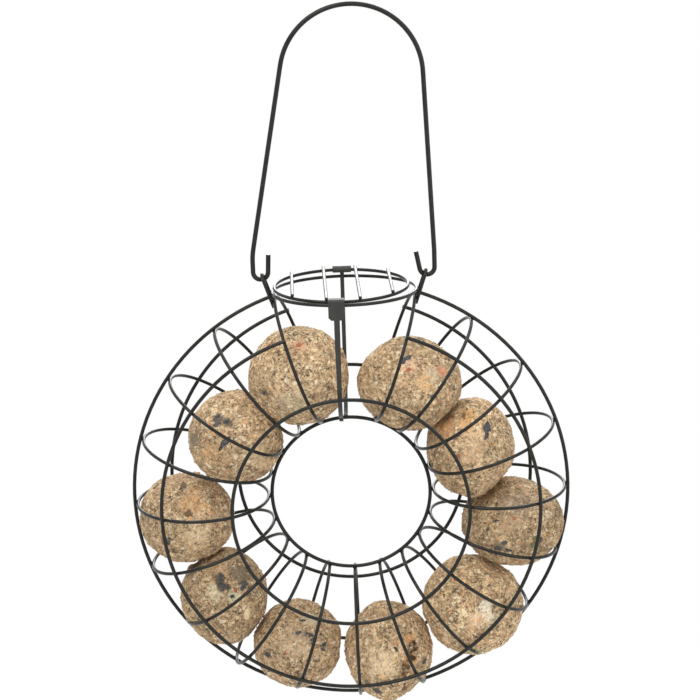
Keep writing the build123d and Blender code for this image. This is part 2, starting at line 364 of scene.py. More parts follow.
def makeCoat(name):
    look = coats[name]
    material, tree, shader, place = startMaterial(name)
    colour = addMix(tree, addTone(tree, place, look["toneScale"]), look["low"], look["high"])
    rough = addTone(tree, place, look["roughScale"], *look["rough"])
    shader.inputs["Specular IOR Level"].default_value = look["specular"]
    peel = useGroup(tree, orangePeel, {"Vector": place, "Scale": look["peelScale"]})["Height"]
    finishMaterial(tree, shader, colour, rough, peel, look["bump"])
    return material


wireCoat = makeCoat("wireCoat")
strapCoat = makeCoat("strapCoat")

# shares and strengths run from 0 to 1; heights are shares of the bump's distance
suetLook = {
    "low": (0.37, 0.237, 0.125),
    "high": (0.83, 0.595, 0.35),
    "mealScale": 300.0,
    "tints": [
        {"colour": (0.84, 0.53, 0.33), "share": 0.2, "scale": 110.0},
        {"colour": (0.56, 0.46, 0.29), "share": 0.4, "scale": 170.0},
    ],
    "cellScale": 1100.0,
    "cellWaver": 0.0014,
    "cellSpread": (0.64, 1.22),
    "cellHeight": 0.8,
    "darkCells": 0.12,
    "cellDark": (0.25, 0.150, 0.075),
    "darkStrength": 0.6,
    "chunkScale": 400.0,
    "chunkWaver": 0.0026,
    "chunkFrom": 0.66,
    "chunkEdge": (0.36, 0.60),
    "chunkStrength": 0.85,
    "chunkHeight": 1.2,
    "chunks": [
        (0.0, (0.88, 0.69, 0.43)),
        (0.42, (0.93, 0.78, 0.53)),
        (0.72, (0.88, 0.61, 0.33)),
        (0.84, (0.80, 0.43, 0.20)),
        (0.92, (0.66, 0.30, 0.18)),
        (0.95, (0.26, 0.17, 0.10)),
    ],
    "pitSizes": [(1000.0, 0.405), (480.0, 0.388)],
    # the pit colour is painted shade: a dark brown laid into the pits where shade falls
    "pitShade": (0.10, 0.061, 0.031),
    "pitShadeStrength": 0.85,
    "pitDepth": 1.4,
    "cloudScale": 60.0,
    "cloudSpread": 0.10,
    # painted shade in the hollows: the bend range and the darkest share of the colour there
    "hollowShadeBend": (0.445, 0.495),
    "hollowShadeTone": 0.36,
    "rough": (0.72, 0.90),
    "roughScale": 400.0,
    "specular": 0.3,
    "bump": (0.0006, 0.8),
}


def addMeal(tree, place, cell):
    # fine meal with broad pinkish and greenish clouds, and a strength of its own for each cell
    look = suetLook
    colour = addMix(tree, addTone(tree, place, look["mealScale"]), look["low"], look["high"])
    for tint in look["tints"]:
        drift = addTone(tree, place, tint["scale"], -1.0, 1.0)
        cloud = addMath(tree, "MULTIPLY", addMath(tree, "MAXIMUM", drift, 0.0), tint["share"])
        colour = addMix(tree, cloud, colour, tint["colour"])
    least, most = look["cellSpread"]
    spread = addMath(tree, "ADD", addMath(tree, "MULTIPLY", cell, most - least), least)
    dark = addMath(tree, "LESS_THAN", cell, look["darkCells"])
    dusk = addMath(tree, "MULTIPLY", dark, look["darkStrength"])
    return addMix(tree, dusk, addScaled(tree, colour, spread), look["cellDark"])


def addChunks(tree, place):
    # most cells stay plain meal, the rest are chunks of their own colour with soft edges
    look = suetLook
    chunk = addCells(tree, place, look["chunkScale"], look["chunkWaver"])
    colour = addSteps(tree, addRange(tree, chunk["Cell"], look["chunkFrom"], 1.0), look["chunks"])
    core = addRange(tree, chunk["Height"], *look["chunkEdge"])
    chosen = addMath(tree, "GREATER_THAN", chunk["Cell"], look["chunkFrom"])
    mask = addMath(tree, "MULTIPLY", addMath(tree, "MULTIPLY", chosen, core), look["chunkStrength"])
    return colour, mask


def addPits(tree, place):
    pits = 0.0
    for scale, amount in suetLook["pitSizes"]:
        found = useGroup(tree, shadedPits, {"Vector": place, "Scale": scale, "Amount": amount})["Mask"]
        pits = addMath(tree, "MAXIMUM", found, pits)
    return pits


def addHollowShade(tree):
    # painted shade: the hollows between the lumps and grains are darkened by how far the surface bends
    # inward, as shade would fall there
    bend = addNode(tree, "ShaderNodeNewGeometry").outputs["Pointiness"]
    return addRange(tree, bend, *suetLook["hollowShadeBend"], suetLook["hollowShadeTone"], 1.0)


def makeSuet(name, tone, patches):
    look = suetLook
    material, tree, shader, place = startMaterial(name)
    cells = addCells(tree, place, look["cellScale"], look["cellWaver"])
    chunkColour, chunkMask = addChunks(tree, place)
    pits = addPits(tree, place)
    colour = addMix(tree, chunkMask, addMeal(tree, place, cells["Cell"]), chunkColour)
    # painted shade: the pits are darkened towards a dark brown
    colour = addMix(tree, addMath(tree, "MULTIPLY", pits, look["pitShadeStrength"]), colour, look["pitShade"])
    for patch in patches:
        sockets = {"Vector": place, "Place": patch["place"], "Reach": patch["reach"]}
        mask = useGroup(tree, roundPatch, sockets)["Mask"]
        share = addMath(tree, "MULTIPLY", mask, patch["share"], clamp=True)
        colour = addMix(tree, share, colour, patch["colour"])
    cloudy = addTone(tree, place, look["cloudScale"], tone - look["cloudSpread"], tone + look["cloudSpread"])
    # the meal's tone varies at random in clouds, and the hollows get painted shade
    shaded = addScaled(tree, colour, addMath(tree, "MULTIPLY", cloudy, addHollowShade(tree)))
    rough = addTone(tree, place, look["roughScale"], *look["rough"])
    shader.inputs["Specular IOR Level"].default_value = look["specular"]
    chunkRise = addMath(tree, "MULTIPLY", chunkMask, look["chunkHeight"])
    cellRise = addMath(tree, "MULTIPLY", cells["Height"], look["cellHeight"])
    pitFall = addMath(tree, "MULTIPLY", pits, look["pitDepth"])
    height = addMath(tree, "SUBTRACT", addMath(tree, "ADD", chunkRise, cellRise), pitFall)
    finishMaterial(tree, shader, shaded, rough, height, look["bump"])
    return material


# each kind of crumb: its colours, its shape as shares of its length, and its least and greatest length in mm
crumbKinds = {
    "seedShell": {
        "low": (0.018, 0.018, 0.020), "high": (0.10, 0.095, 0.10), "rough": 0.6, "scale": 900.0,
        "shape": (1.0, 0.44, 0.26), "sizes": (1.2, 3.4),
    },
    "nutChip": {
        "low": (0.58, 0.29, 0.11), "high": (0.84, 0.52, 0.24), "rough": 0.6, "scale": 700.0,
        "shape": (1.0, 0.8, 0.5), "sizes": (1.0, 3.0),
    },
    "redChip": {
        "low": (0.30, 0.07, 0.03), "high": (0.50, 0.16, 0.07), "rough": 0.5, "scale": 700.0,
        "shape": (1.0, 0.7, 0.4), "sizes": (0.8, 1.7),
    },
    "creamChip": {
        "low": (0.66, 0.50, 0.30), "high": (0.88, 0.73, 0.49), "rough": 0.7, "scale": 900.0,
        "shape": (1.0, 0.5, 0.35), "sizes": (1.0, 3.4),
    },
    "tanCrumb": {
        "low": (0.46, 0.30, 0.16), "high": (0.80, 0.585, 0.345), "rough": 0.8, "scale": 900.0,
        "shape": (1.0, 0.85, 0.7), "sizes": (1.0, 2.8),
    },
    "brownCrumb": {
        "low": (0.18, 0.11, 0.06), "high": (0.42, 0.28, 0.155), "rough": 0.8, "scale": 900.0,
        "shape": (1.0, 0.8, 0.6), "sizes": (0.8, 2.0),
    },
}
crumbFinish = {
    "waver": 0.001,
    "roughSpread": 0.1,
    "bump": (0.00015, 0.6),
}


def makeCrumb(name):
    look = crumbKinds[name]
    material, tree, shader, place = startMaterial(name)
    streak = addCells(tree, place, look["scale"], crumbFinish["waver"])
    colour = addMix(tree, streak["Cell"], look["low"], look["high"])
    least, most = look["rough"] - crumbFinish["roughSpread"], look["rough"] + crumbFinish["roughSpread"]
    rough = addTone(tree, place, look["scale"], least, most)
    finishMaterial(tree, shader, colour, rough, streak["Height"], crumbFinish["bump"])
    return material


crumbPaints = {name: makeCrumb(name) for name in crumbKinds}
print("materials ready")

suetNames = ["suet_ball_%02d" % (index + 1) for index in range(10)]
strapNames = ("latch", "hinge_strap")
for name, node in nodes.items():
    node.data.materials.clear()
    if name not in suetNames:
        node.data.materials.append(strapCoat if name in strapNames else wireCoat)

# every wire and strap in one mesh, only to press the balls against
wireCopies = []
for name, node in nodes.items():
    if name not in suetNames:
        wireCopy = node.copy()
        wireCopy.data = node.data.copy()
        scene.collection.objects.link(wireCopy)
        wireCopies.append(wireCopy)
selectOnly(*wireCopies)
bpy.ops.object.join()
allWires = bpy.context.object
allWires.name = "allWires"

# places on a ball are told as the front view shows them: shares of its radius to the right and up
lookDown = math.radians(90 - cameraView["tilt"])
viewRight = Vector((1, 0, 0))
viewUp = Vector((0, math.sin(lookDown), math.cos(lookDown)))
viewNear = Vector((0, -math.cos(lookDown), math.sin(lookDown)))


def seenAt(right, up):
    depth = math.sqrt(max(0.0, 1 - right * right - up * up))
    return (viewRight * right + viewUp * up + viewNear * depth).normalized()


# half: width, depth and height from the middle in mm
# tone: how light the meal is
# flats: the place, then how far out the flat lies as a share of the radius
# lumps: the place, mm outward, or inward below 0, and mm across
# patches: the place, mm across from the middle, the colour and how strong it is
# seeds: the kind, how far right and up, mm long and the angle in degrees
balls = {
    "suet_ball_01": {
        "half": (30.0, 28.4, 29.4),
        "tone": 1.15,
        "flats": [((0.2, -0.93), 0.93), ((0.05, 0.96), 0.94)],
        "lumps": [((-0.75, 0.6), -1.2, 16), ((0.5, 0.75), 0.8, 18)],
        "patches": [
            ((-0.1, -0.5), 11, (0.7, 0.56, 0.36), 0.6), ((-0.64, -0.34), 2.7, (0.13, 0.112, 0.092), 0.85),
            ((-0.56, 0.6), 4, (0.6, 0.28, 0.16), 1.2), ((0.0, 0.62), 5, (0.62, 0.36, 0.22), 0.8),
        ],
        "seeds": [
            ("redChip", 0.03, 0.62, 4.6, 20), ("redChip", -0.56, 0.6, 3.8, 0),
            ("seedShell", -0.64, -0.34, 3.4, 10), ("creamChip", -0.15, -0.6, 4.5, 20),
            ("creamChip", -0.4, 0.02, 3.2, 60), ("nutChip", -0.52, -0.24, 2.8, 80),
        ],
    },
    "suet_ball_02": {
        "half": (28.5, 27.4, 28.2),
        "tone": 1.07,
        "flats": [],
        "lumps": [((-0.86, -0.05), -1.6, 10), ((0.7, -0.6), 0.8, 16), ((-0.3, 0.4), -0.8, 10)],
        "patches": [
            ((-0.45, -0.35), 10, (0.72, 0.44, 0.2), 0.5), ((-0.35, 0.4), 4.7, (0.15, 0.122, 0.092), 0.85),
            ((-0.12, 0.35), 3.9, (0.15, 0.122, 0.092), 0.85), ((-0.86, -0.05), 5, (0.3, 0.24, 0.16), 1),
            ((0.5, -0.3), 9, (0.82, 0.62, 0.38), 0.5),
        ],
        "seeds": [
            ("seedShell", -0.36, 0.44, 6.0, 40), ("seedShell", -0.36, 0.31, 5.4, 25),
            ("seedShell", -0.12, 0.37, 5.6, 25), ("seedShell", -0.16, -0.04, 8.0, 42),
            ("seedShell", -0.24, -0.17, 6.0, 55), ("nutChip", -0.41, 0.12, 3.4, 0),
            ("nutChip", 0.24, 0.36, 3.6, 40), ("nutChip", -0.59, -0.29, 3.6, 90),
            ("nutChip", 0.35, 0.05, 3.2, 10), ("creamChip", -0.52, -0.56, 6.0, -40),
        ],
    },
    "suet_ball_03": {
        "half": (29.1, 28.4, 26.7),
        "tone": 1.03,
        "flats": [((-0.55, 0.72), 0.94), ((0.62, 0.66), 0.94), ((0.05, 0.97), 0.94)],
        "lumps": [((0.1, 0.18), -2.2, 7), ((0.05, 0.05), -1.4, 6), ((-0.2, -0.9), 0.8, 18)],
        "patches": [
            ((0.2, 0.42), 9, (0.84, 0.5, 0.24), 0.6), ((0.1, 0.14), 2.7, (0.17, 0.102, 0.057), 0.85),
            ((-0.02, 0.72), 3.1, (0.15, 0.122, 0.092), 0.85),
            ((-0.36, -0.46), 3.4, (0.13, 0.112, 0.082), 0.85), ((0.3, -0.3), 10, (0.85, 0.64, 0.4), 0.5),
        ],
        "seeds": [
            ("seedShell", -0.08, 0.68, 3.8, 25), ("seedShell", -0.35, -0.47, 6.0, 80),
            ("seedShell", -0.28, -0.4, 3.4, 0), ("nutChip", 0.22, 0.46, 4.4, 10),
            ("nutChip", 0.12, 0.04, 4.0, 30), ("nutChip", -0.41, -0.26, 3.6, 70),
            ("nutChip", 0.55, 0.15, 3.0, 30), ("creamChip", 0.3, -0.35, 3.4, 60),
        ],
    },
    "suet_ball_04": {
        "half": (26.4, 27.0, 30.0),
        "tone": 0.95,
        "flats": [((-0.55, 0.8), 0.93), ((0.55, 0.8), 0.9), ((0.72, -0.66), 0.92)],
        "lumps": [
            ((0.0, 0.32), -1.4, 9), ((0.86, 0.35), -1.6, 6), ((-0.7, 0.5), 0.8, 10), ((0.62, 0.74), 1.8, 5),
            ((0.92, 0.08), 1.2, 5), ((-0.74, 0.64), 1.6, 5), ((0.74, -0.55), 1.6, 5),
            ((0.6, -0.78), -1.8, 4.5), ((0.3, 0.93), -1.4, 5),
        ],
        "patches": [
            ((0.42, 0.55), 7.8, (0.25, 0.202, 0.132), 0.85), ((-0.68, 0.6), 7.8, (0.2, 0.172, 0.112), 0.85),
            ((-0.12, 0.2), 6, (0.8, 0.68, 0.44), 0.9), ((0.3, 0.1), 6, (0.78, 0.7, 0.44), 0.9),
            ((-0.03, 0.44), 4.7, (0.09, 0.074, 0.062), 0.85),
            ((0.06, 0.28), 4.7, (0.085, 0.072, 0.062), 0.85), ((0.52, 0.32), 3.1, (0.1, 0.087, 0.062), 0.85),
        ],
        "seeds": [
            ("seedShell", -0.02, 0.42, 6.5, 80), ("seedShell", 0.05, 0.26, 6.0, -60),
            ("seedShell", 0.46, 0.28, 6.5, 70), ("seedShell", 0.22, 0.09, 4.0, 30),
            ("seedShell", -0.56, -0.47, 3.6, 70), ("seedShell", -0.66, 0.62, 4.8, 20),
            ("redChip", 0.32, 0.22, 4.0, 70), ("creamChip", 0.57, -0.27, 9.5, 84),
            ("creamChip", 0.5, -0.14, 4.5, 70), ("creamChip", -0.15, 0.17, 4.4, 30),
            ("creamChip", 0.02, -0.42, 5.0, 20), ("nutChip", -0.1, -0.62, 3.4, 0),
        ],
    },
    "suet_ball_05": {
        "half": (27.3, 27.0, 26.7),
        "tone": 1.0,
        "flats": [((-0.25, 0.93), 0.93), ((0.8, 0.5), 0.95)],
        "lumps": [((0.3, 0.93), 1.2, 12), ((0.59, 0.06), -0.8, 8)],
        "patches": [
            ((0.2, 0.33), 3, (0.15, 0.122, 0.112), 0.7), ((0.26, 0.68), 6, (0.78, 0.66, 0.46), 0.7),
            ((-0.62, -0.15), 3, (0.15, 0.122, 0.102), 0.7), ((0.58, 0.04), 3, (0.17, 0.142, 0.122), 0.7),
            ((-0.05, 0.1), 11, (0.74, 0.56, 0.36), 0.5),
        ],
        "seeds": [
            ("seedShell", 0.06, 0.37, 5.0, 5), ("seedShell", 0.28, 0.32, 6.0, -15),
            ("seedShell", 0.32, 0.2, 4.0, 40), ("seedShell", 0.59, 0.08, 5.0, 30),
            ("seedShell", 0.56, -0.03, 4.0, -20), ("seedShell", -0.62, -0.15, 6.0, -15),
            ("seedShell", 0.12, 0.62, 4.0, 10), ("redChip", -0.26, -0.09, 3.2, 60),
            ("creamChip", -0.41, 0.47, 3.4, 40), ("creamChip", -0.05, 0.12, 3.0, 20),
            ("creamChip", 0.22, 0.72, 6.0, 10),
        ],
    },
    "suet_ball_06": {
        "half": (27.0, 27.0, 30.6),
        "tone": 1.12,
        "flats": [((-0.75, 0.62), 0.93), ((0.55, 0.82), 0.95), ((-0.92, -0.35), 0.94), ((0.62, -0.76), 0.9)],
        "lumps": [
            ((0.46, 0.38), -3.0, 5), ((0.57, 0.24), -6.0, 5), ((0.58, 0.08), -6.0, 5),
            ((0.52, -0.08), -5.4, 5), ((0.42, -0.24), -5.0, 5), ((0.36, -0.42), -4.4, 5),
            ((0.76, 0.1), 2.2, 11), ((0.8, -0.35), 2.2, 9), ((-0.05, -0.93), 3.0, 11),
            ((0.28, -0.93), -4.0, 5), ((0.48, -0.84), 2.0, 6), ((0.35, -0.72), -2.5, 4.5),
        ],
        "patches": [
            ((-0.17, -0.2), 12, (0.86, 0.66, 0.42), 0.6), ((0.46, 0.29), 5, (0.85, 0.48, 0.22), 0.9),
            # the dark brown patches from (0.57, 0.24) down to (0.36, -0.42) are painted shade in the crack
            ((0.48, -0.14), 4, (0.8, 0.46, 0.22), 0.8), ((0.57, 0.24), 2.6, (0.12, 0.065, 0.03), 1),
            ((0.58, 0.1), 2.6, (0.12, 0.065, 0.03), 1), ((0.53, -0.06), 2.6, (0.12, 0.065, 0.03), 1),
            ((0.42, -0.24), 2.0, (0.19, 0.112, 0.052), 0.85),
            ((0.36, -0.42), 2.0, (0.19, 0.112, 0.052), 0.85),
            ((0.35, -0.72), 2.7, (0.16, 0.092, 0.047), 0.85),
            ((-0.27, -0.74), 3.9, (0.11, 0.092, 0.072), 0.85),
            ((-0.5, -0.55), 3.1, (0.15, 0.152, 0.092), 0.85),
        ],
        "seeds": [
            ("seedShell", 0.15, 0.15, 3.6, -50), ("seedShell", -0.26, -0.74, 6.0, -20),
            ("seedShell", 0.8, -0.12, 5.0, 60), ("nutChip", 0.42, 0.28, 4.0, 60),
            ("nutChip", 0.36, -0.05, 3.6, 80), ("nutChip", -0.14, -0.42, 3.8, 0),
            ("creamChip", -0.3, -0.25, 3.0, 30), ("nutChip", 0.05, -0.5, 3.0, 30),
        ],
    },
    "suet_ball_07": {
        "half": (30.6, 28.6, 30.9),
        "tone": 1.21,
        "flats": [((0.35, 0.88), 0.93)],
        "lumps": [((0.25, -0.1), -0.8, 10), ((-0.6, 0.7), -0.8, 16)],
        "patches": [
            ((0.22, 0.03), 5.5, (0.9, 0.8, 0.64), 0.85), ((0.3, -0.14), 4.5, (0.9, 0.77, 0.57), 0.8),
            ((0.04, -0.2), 6, (0.84, 0.6, 0.38), 0.7), ((0.0, -0.93), 9, (0.42, 0.38, 0.18), 0.6),
        ],
        "seeds": [
            ("creamChip", 0.3, 0.02, 3.6, 70), ("creamChip", 0.22, -0.1, 3.0, 20),
            ("nutChip", 0.05, -0.2, 3.0, 20), ("seedShell", 0.55, -0.72, 3.0, 60),
        ],
    },
    "suet_ball_08": {
        "half": (30.6, 28.8, 26.7),
        "tone": 0.92,
        "flats": [((-0.62, 0.7), 0.9), ((0.3, 0.95), 0.94)],
        "lumps": [((0.47, -0.35), -1.8, 6), ((-0.3, 0.12), -0.8, 9), ((0.9, 0.0), 0.8, 12)],
        "patches": [
            ((-0.28, -0.48), 3.6, (0.17, 0.142, 0.112), 0.75),
            ((0.36, -0.44), 4.7, (0.27, 0.242, 0.132), 0.85), ((0.1, 0.5), 13, (0.4, 0.3, 0.21), 0.5),
            ((0.47, -0.35), 2.8, (0.11, 0.072, 0.047), 0.85), ((-0.1, 0.0), 9, (0.74, 0.5, 0.3), 0.5),
        ],
        "seeds": [
            ("seedShell", -0.32, -0.53, 6.0, 10), ("seedShell", -0.2, -0.38, 5.0, 30),
            ("seedShell", -0.15, -0.56, 5.0, -20), ("seedShell", -0.38, 0.09, 4.0, 10),
            ("seedShell", 0.4, -0.44, 5.0, 40), ("redChip", -0.03, 0.15, 2.6, 0),
            ("creamChip", 0.18, -0.05, 3.2, 30), ("nutChip", 0.3, -0.36, 3.0, 60),
            ("creamChip", -0.55, -0.3, 3.0, 20),
        ],
    },
    "suet_ball_09": {
        "half": (26.4, 27.0, 30.0),
        "tone": 1.14,
        "flats": [((-0.86, -0.42), 0.9), ((0.72, -0.66), 0.9), ((-0.72, 0.66), 0.93), ((0.9, 0.2), 0.95)],
        "lumps": [((-0.18, 0.66), -2.2, 6), ((-0.34, 0.28), -0.8, 9), ((0.0, -0.96), 1.6, 10)],
        "patches": [
            ((-0.12, 0.6), 8, (0.76, 0.44, 0.18), 0.7), ((-0.59, 0.4), 8, (0.8, 0.46, 0.22), 0.7),
            ((-0.2, 0.66), 2.3, (0.15, 0.092, 0.047), 0.85), ((-0.36, 0.28), 3.1, (0.13, 0.102, 0.072), 0.85),
            ((0.0, 0.05), 10, (0.86, 0.6, 0.36), 0.5),
        ],
        "seeds": [
            ("seedShell", 0.31, 0.38, 10.0, 82), ("seedShell", 0.29, 0.26, 6.0, 70),
            ("seedShell", -0.32, 0.29, 3.4, 30), ("nutChip", -0.59, 0.41, 3.8, 0),
            ("nutChip", -0.08, 0.7, 3.0, 40), ("redChip", -0.18, -0.71, 3.0, 0),
            ("redChip", -0.34, -0.12, 3.0, 40), ("nutChip", 0.12, 0.0, 3.2, 20),
            ("creamChip", 0.05, -0.35, 3.2, 30), ("nutChip", 0.5, 0.1, 3.0, 30),
        ],
    },
    "suet_ball_10": {
        "half": (31.0, 28.4, 27.9),
        "tone": 1.09,
        "flats": [((-0.62, -0.76), 0.91), ((0.75, -0.6), 0.93), ((-0.5, 0.84), 0.96), ((0.66, 0.72), 0.95)],
        "lumps": [((0.7, 0.53), -1.8, 6), ((0.95, -0.1), 1.0, 12), ((-0.1, 0.5), -0.6, 10)],
        "patches": [
            ((0.28, 0.02), 6, (0.86, 0.56, 0.29), 0.7), ((0.4, 0.2), 5, (0.88, 0.7, 0.46), 0.7),
            ((-0.05, 0.38), 6, (0.84, 0.56, 0.36), 0.7), ((0.66, 0.56), 2.5, (0.13, 0.082, 0.042), 0.85),
            ((0.6, 0.28), 3.4, (0.74, 0.34, 0.2), 1.2), ((-0.85, -0.35), 3.9, (0.23, 0.202, 0.152), 0.85),
        ],
        "seeds": [
            ("seedShell", -0.06, 0.53, 9.5, 32), ("seedShell", 0.41, -0.24, 3.4, 40),
            ("seedShell", 0.74, 0.5, 3.6, 60), ("redChip", -0.03, 0.3, 5.0, 20),
            ("nutChip", 0.32, 0.15, 4.0, 0), ("nutChip", 0.34, -0.03, 3.4, 30),
            ("creamChip", -0.29, 0.29, 3.4, 30), ("nutChip", 0.64, 0.58, 3.2, 30),
            ("nutChip", 0.5, -0.12, 3.2, 60), ("creamChip", -0.5, -0.1, 3.2, 10),
        ],
    },
}

ballForm = {
    "subdivisions": 5,
    "denseLevels": 2,
    "flatKeep": 0.3,
    "leanKeep": 0.06,
    "leanGap": 0.4,
    "backFlats": 5,
    "backLeast": 0.4,
    "backShares": (0.92, 0.97),
    "backSeed": 100,
    "grooveReach": 8,
    "grooveGap": -0.7,
}
rayStart = mm(60)
samePoint = mm(0.001)

# scale and strength in metres
relief = {
    "broad": {"type": "CLOUDS", "scale": 0.017, "strength": 0.0022},
    "lumpy": {"type": "CLOUDS", "scale": 0.0055, "strength": 0.0011},
    "grain": {"type": "VORONOI", "scale": 0.0018, "strength": -0.0005},
    "fine": {"type": "CLOUDS", "scale": 0.0011, "strength": 0.00055},
}
reliefTextures = {}
for name, values in relief.items():
    texture = bpy.data.textures.new(name, values["type"])
    texture.noise_scale = values["scale"]
    reliefTextures[name] = texture


def addRelief(ball, name):
    modifier = ball.modifiers.new(name, "DISPLACE")
    modifier.texture = reliefTextures[name]
    modifier.texture_coords = "LOCAL"
    modifier.strength = relief[name]["strength"]
    modifier.mid_level = 0.5


def nodeMiddle(name):
    low, high = (Vector(corner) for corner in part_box(name))
    return (low + high) / 2


def surfaceAt(direction, half):
    # how far an oval's surface lies from its middle in this direction
    return 1 / math.sqrt(sum((direction[axis] / half[axis]) ** 2 for axis in range(3)))


def pressFlat(piece, place, direction, keep):
    # what lies beyond the place is squeezed onto a nearly flat face there
    pickPoints(piece, lambda point: (point - place).dot(direction) > 0)
    bpy.ops.transform.resize(value=(1, 1, keep), orient_type="GLOBAL", orient_matrix_type="GLOBAL",
                             orient_matrix=direction.to_track_quat("Z", "Y").to_matrix(),
                             constraint_axis=(False, False, True), center_override=place)


def pullPoint(piece, place, move, reach):
    mesh = bmesh.from_edit_mesh(piece.data)
    nearest = min(mesh.verts, key=lambda point: (point.co - place).length_squared).co.copy()
    pickPoints(piece, lambda point: (point - nearest).length < samePoint)
    bpy.ops.transform.translate(value=move, use_proportional_edit=True, proportional_edit_falloff="SMOOTH",
                                proportional_size=reach)


def frontPoint(piece, middle, half, right, up):
    # whether a look from the front meets the piece there, the place that it meets and its normal
    start = middle + viewRight * right * half.x + viewUp * up * half.z + viewNear * rayStart
    return piece.ray_cast(start, -viewNear)[:3]


def startBall(middle, half):
    # a plain oval, left in edit mode
    bpy.ops.object.select_all(action="DESELECT")
    bpy.ops.mesh.primitive_ico_sphere_add(subdivisions=ballForm["subdivisions"], radius=half.z,
                                          location=middle)
    ball = bpy.context.object
    bpy.ops.object.transform_apply(location=True, rotation=True, scale=True)
    bpy.ops.object.mode_set(mode="EDIT")
    bpy.context.tool_settings.mesh_select_mode = (True, False, False)
    bpy.ops.mesh.select_all(action="SELECT")
    bpy.ops.transform.resize(value=(half.x / half.z, half.y / half.z, 1), center_override=middle)
    return ball


def pressOval(ball, middle, half, direction, share):
    place = middle + direction * surfaceAt(direction, half) * share
    pressFlat(ball, place, direction, ballForm["flatKeep"])


def pressFlats(ball, name, index, middle, half):
    for (right, up), share in balls[name]["flats"]:
        pressOval(ball, middle, half, seenAt(right, up), share)
    draw = random.Random(ballForm["backSeed"] + index)
    for count in range(ballForm["backFlats"]):  # the far side gets flats of its own
        across = draw.uniform(-1, 1)
        back = draw.uniform(ballForm["backLeast"], 1)
        rise = draw.uniform(-1, 1)
        share = draw.uniform(*ballForm["backShares"])
        pressOval(ball, middle, half, Vector((across, back, rise)).normalized(), share)


def pullLumps(ball, name, middle, half):
    for (right, up), out, across in balls[name]["lumps"]:
        direction = seenAt(right, up)
        pullPoint(ball, middle + direction * surfaceAt(direction, half), direction * mm(out), mm(across))


def pressNeighbours(ball, name, middle, half):
    # where two balls lean on each other, each is flat
    for other in suetNames:
        if other != name:
            between = nodeMiddle(other) - middle
            direction = between.normalized()
            mine = surfaceAt(direction, half)
            theirs = mm(max(balls[other]["half"]))
            if mine + theirs > between.length:
                place = middle + between * (mine / (mine + theirs)) - direction * mm(ballForm["leanGap"])
                pressFlat(ball, place, direction, ballForm["leanKeep"])


def pressWires(ball):
    # what would stand in a wire is pressed back to just behind it
    groove = ball.modifiers.new("wireGroove", "SHRINKWRAP")
    groove.wrap_method = "PROJECT"
    groove.target = allWires
    groove.use_negative_direction = True
    groove.use_positive_direction = False
    groove.cull_face = "FRONT"
    groove.project_limit = mm(ballForm["grooveReach"])
    groove.offset = mm(ballForm["grooveGap"])


def formBall(name, index):
    look = balls[name]
    middle = nodeMiddle(name)
    half = Vector(mm(side) for side in look["half"])
    ball = startBall(middle, half)
    pressFlats(ball, name, index, middle, half)
    pullLumps(ball, name, middle, half)
    pressNeighbours(ball, name, middle, half)
    bpy.ops.object.mode_set(mode="OBJECT")
    dense = ball.modifiers.new("dense", "SUBSURF")
    dense.levels = dense.render_levels = ballForm["denseLevels"]
    addRelief(ball, "broad")
    addRelief(ball, "lumpy")
    applyAll(ball)
    pressWires(ball)
    addRelief(ball, "grain")
    addRelief(ball, "fine")
    applyAll(ball)
    cleanShell(ball)
    bpy.ops.object.shade_smooth()
    patches = []
    for (right, up), reach, colour, share in look["patches"]:
        found, place, normal = frontPoint(ball, middle, half, right, up)
        if found:
            patches.append({"place": place, "reach": mm(reach), "colour": colour, "share": share})
    ball.data.materials.append(makeSuet(name + "_meal", look["tone"], patches))
    return ball, middle, half


def startPebble(subdivisions, shape, jitter, seed):
    # an uneven pebble with these sides in mm, left in edit mode
    bpy.ops.object.select_all(action="DESELECT")
    bpy.ops.mesh.primitive_ico_sphere_add(subdivisions=subdivisions, radius=mm(0.5))
    pebble = bpy.context.object
    bpy.ops.object.mode_set(mode="EDIT")
    bpy.ops.mesh.select_all(action="SELECT")
    bpy.ops.transform.resize(value=shape, center_override=(0, 0, 0))
    bpy.ops.transform.vertex_random(offset=mm(jitter), seed=seed)
    return pebble


def layCopy(model, place, up, along, length=1.0):
    # a copy with a mesh of its own, its X axis as near to along as the surface lets it lie
    piece = model.copy()
    piece.data = model.data.copy()
    scene.collection.objects.link(piece)
    side = up.cross(along).normalized()
    turn = Matrix((side.cross(up), side, up)).transposed()
    piece.data.transform(Matrix.Translation(place) @ turn.to_4x4() @ Matrix.Scale(length, 4))
    return piece


def joinPieces(pieces):
    selectOnly(*pieces)
    bpy.ops.object.join()
    joined = bpy.context.object
    joined.matrix_world = Matrix.Identity(4)
    return joined


# each kind of crumb is modelled once, lying along X, a millimetre long; a shell is pointed at one end and
# hollowed along its back
crumbForm = {
    "jitter": 0.05,
    "shellEnd": 0.3,
    "shellPoint": (1.3, 0.4, 0.5),
    "shellBack": 0.06,
    "shellHollow": 0.05,
}
crumbModels = {}
for index, (name, kind) in enumerate(crumbKinds.items()):
    isShell = name == "seedShell"
    crumb = startPebble(2 if isShell else 1, kind["shape"], crumbForm["jitter"], index)
    if isShell:
        shellEnd, shellBack = mm(crumbForm["shellEnd"]), mm(crumbForm["shellBack"])
        pickPoints(crumb, lambda point: point.x > shellEnd)
        bpy.ops.transform.resize(value=crumbForm["shellPoint"], center_override=(shellEnd, 0, 0))
        pickPoints(crumb, lambda point: point.z > shellBack and abs(point.x) < shellEnd)
        bpy.ops.transform.translate(value=(0, 0, -mm(crumbForm["shellHollow"])))
    bpy.ops.object.mode_set(mode="OBJECT")
    cleanShell(crumb)
    crumb.data.materials.append(crumbPaints[name])
    crumb.name = name + "Model"
    crumbModels[name] = crumb

